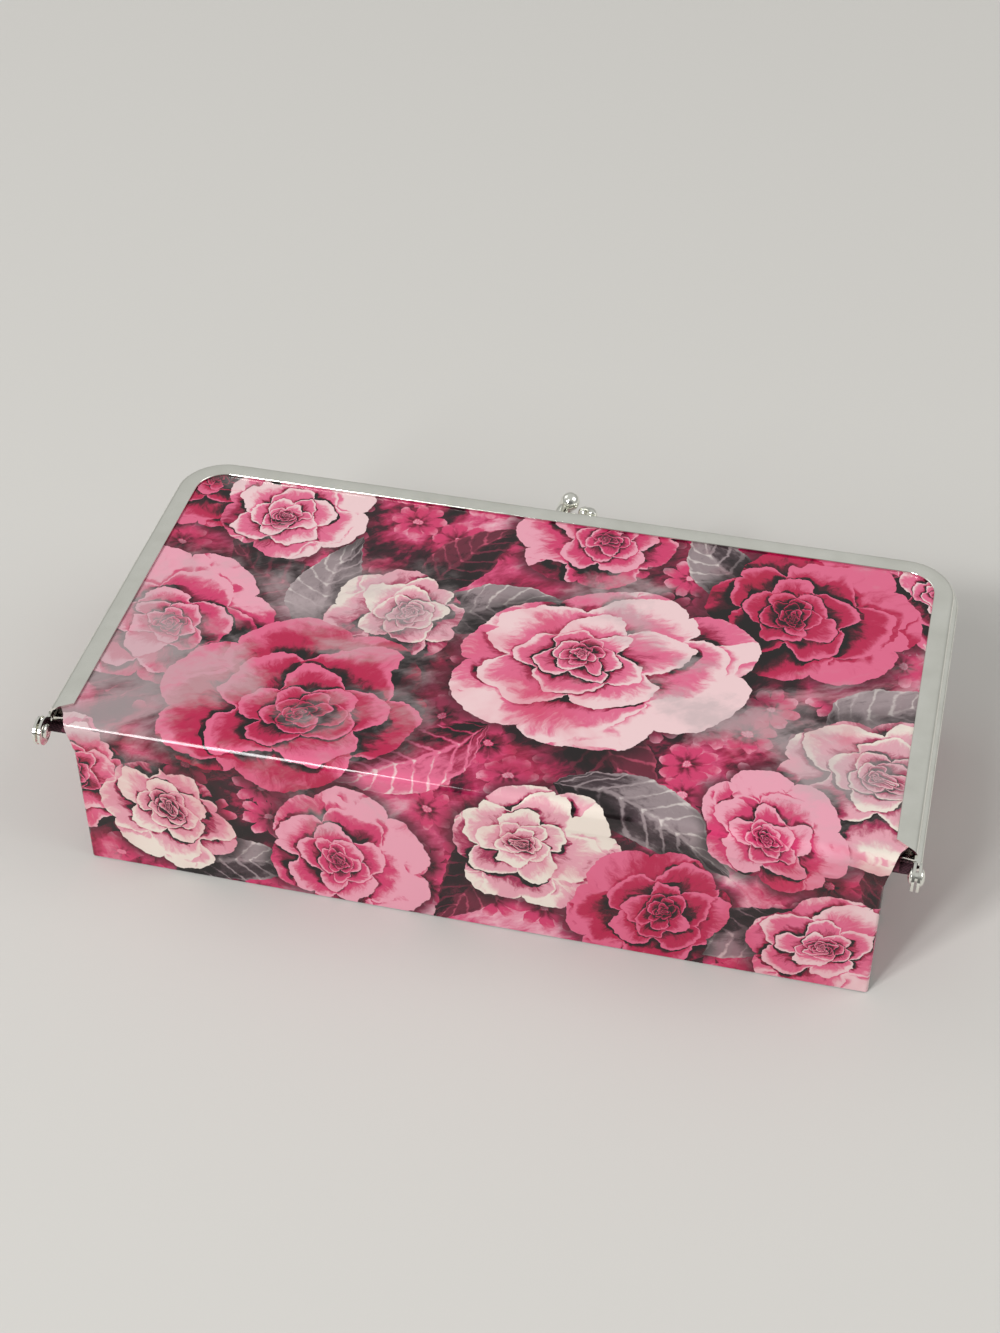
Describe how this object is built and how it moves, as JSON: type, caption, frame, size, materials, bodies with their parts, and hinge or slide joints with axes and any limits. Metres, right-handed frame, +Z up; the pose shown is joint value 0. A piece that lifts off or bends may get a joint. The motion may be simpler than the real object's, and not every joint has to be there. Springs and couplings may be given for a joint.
{
  "type": "travel jewelry box",
  "caption": "Flat hinged travel jewelry box: printed glossy cover over boards, polished kiss-lock frame with riveted ears and ball clasp, lined inside with dividers and ring rolls.",
  "frame": {"origin": "centre of the underside of the base, on the surface that the box stands on", "axes": "+X along the length, +Y from the hinge side to the clasp side, +Z up"},
  "size_m": [0.202, 0.114, 0.0454],
  "materials": {
    "frame_metal": "polished",
    "printed_cover": "patent gloss",
    "base_sheet": "matte",
    "board": "matte",
    "lining": "suede",
    "padding": "suede",
    "paper_cord": "matte"
  },
  "bodies": {
    "case": {"body_frame": "frame_metal", "hinge_rivet_left": "frame_metal", "hinge_rivet_right": "frame_metal", "body_clasp": "frame_metal", "cover_fold": "printed_cover", "back_cover": "printed_cover", "wall_cover": "printed_cover", "base_cover": "base_sheet", "base_board": "board", "back_board": "board", "front_board": "board", "left_board": "board", "right_board": "board", "body_lining": "lining", "body_cord": "paper_cord", "long_divider": "lining", "cross_divider": "lining", "ring_roll_back": "padding", "ring_roll_middle": "padding", "ring_roll_front": "padding"},
    "lid": {"lid_frame": "frame_metal", "lid_clasp": "frame_metal", "lid_cover": "printed_cover", "lid_board": "board", "lid_lining": "lining", "lid_pad": "padding", "lid_cord": "paper_cord"}
  },
  "joints": [
    {"name": "lid_hinge", "type": "hinge", "parent": "case", "child": "lid", "pos_m": [0, -0.0493, 0.04105], "axis": [1, 0, 0], "range_deg": [0, 95], "deforming": ["cover_fold"]}
  ]
}
